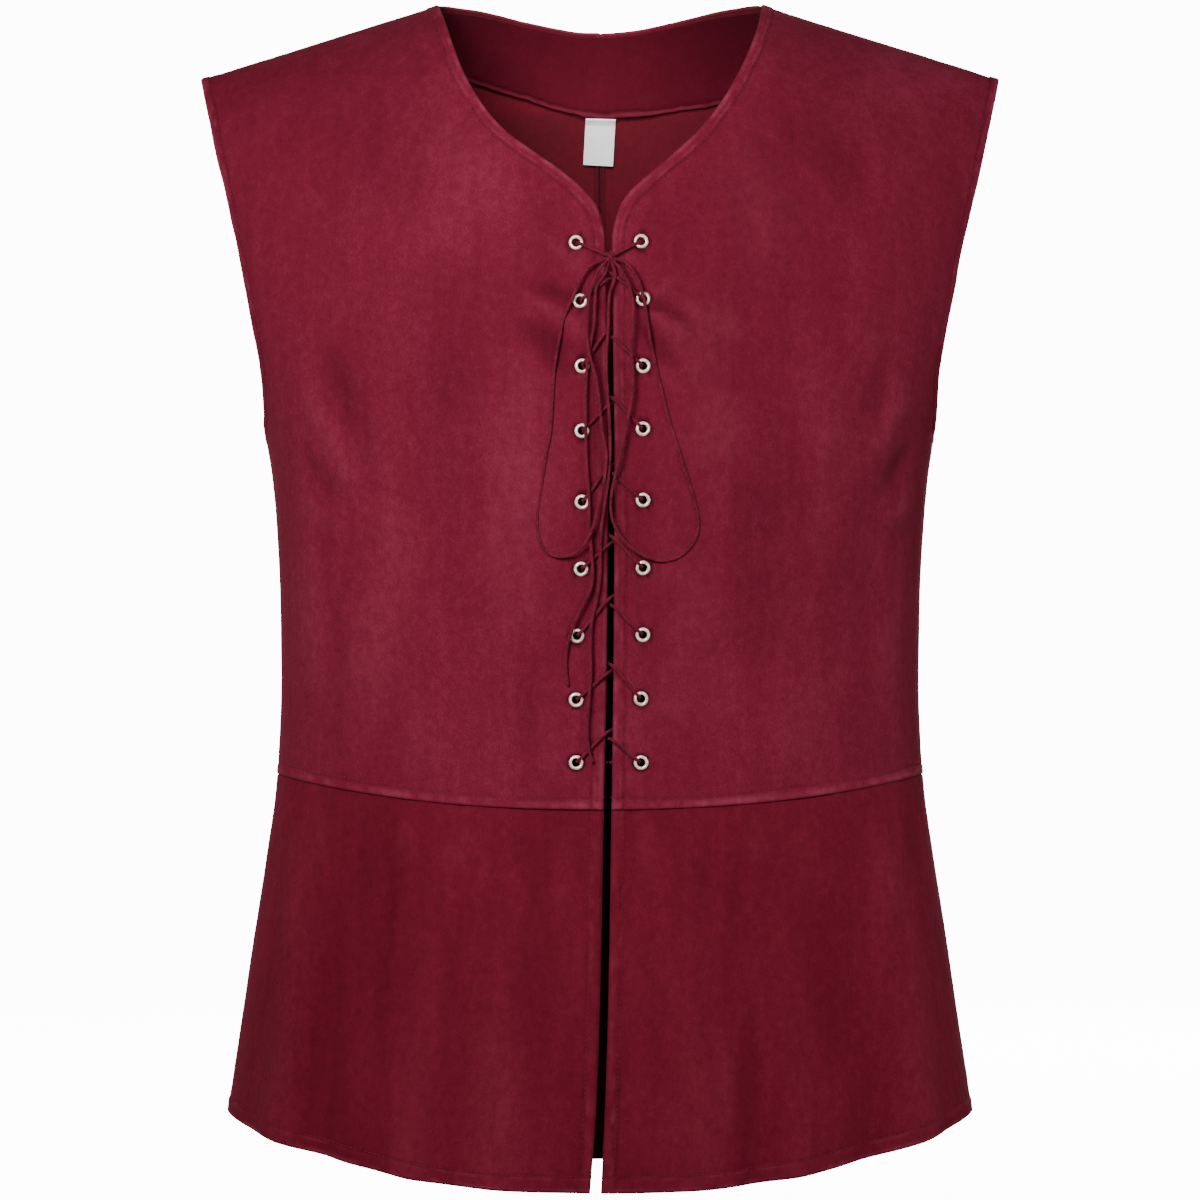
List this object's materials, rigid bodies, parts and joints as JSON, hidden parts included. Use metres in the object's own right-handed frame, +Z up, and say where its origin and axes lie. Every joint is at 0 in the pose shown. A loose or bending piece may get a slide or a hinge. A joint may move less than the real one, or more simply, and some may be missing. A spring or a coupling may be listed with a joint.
{
  "type": "renaissance vest",
  "caption": "Sleeveless V-neck costume vest in wine suede cloth with a flared skirt below the waist seam, laced down the front through metal eyelets and tied in a bow.",
  "frame": {"origin": "midway between the two shoulders, level with the middle of the shoulder seams, in the plane of the shoulder and side seams", "axes": "+X towards the wearer's left, -Y out of the laced front, +Z up the body to the neck"},
  "size_m": [0.479, 0.2443, 0.7027],
  "materials": {
    "suede_cloth": "napped suede",
    "suede_facing": "napped suede",
    "label_white": "smooth woven tape",
    "eyelet_metal": "pale polished plating",
    "lace_cord": "braided round cord"
  },
  "bodies": {
    "root": {"front_right": "suede_cloth", "front_left": "suede_cloth", "back_right": "suede_cloth", "back_left": "suede_cloth", "front_skirt_right": "suede_cloth", "front_skirt_left": "suede_cloth", "back_skirt": "suede_cloth", "back_neck_facing": "suede_facing", "care_label": "label_white", "eyelet_right_1": "eyelet_metal", "eyelet_right_2": "eyelet_metal", "eyelet_right_3": "eyelet_metal", "eyelet_right_4": "eyelet_metal", "eyelet_right_5": "eyelet_metal", "eyelet_right_6": "eyelet_metal", "eyelet_right_7": "eyelet_metal", "eyelet_right_8": "eyelet_metal", "eyelet_right_9": "eyelet_metal", "eyelet_left_1": "eyelet_metal", "eyelet_left_2": "eyelet_metal", "eyelet_left_3": "eyelet_metal", "eyelet_left_4": "eyelet_metal", "eyelet_left_5": "eyelet_metal", "eyelet_left_6": "eyelet_metal", "eyelet_left_7": "eyelet_metal", "eyelet_left_8": "eyelet_metal", "eyelet_left_9": "eyelet_metal", "lace_from_right": "lace_cord", "lace_from_left": "lace_cord", "bow_knot": "lace_cord", "bow_loop_right": "lace_cord", "bow_loop_left": "lace_cord", "lace_tail_right": "lace_cord", "lace_tail_left": "lace_cord"}
  },
  "joints": []
}
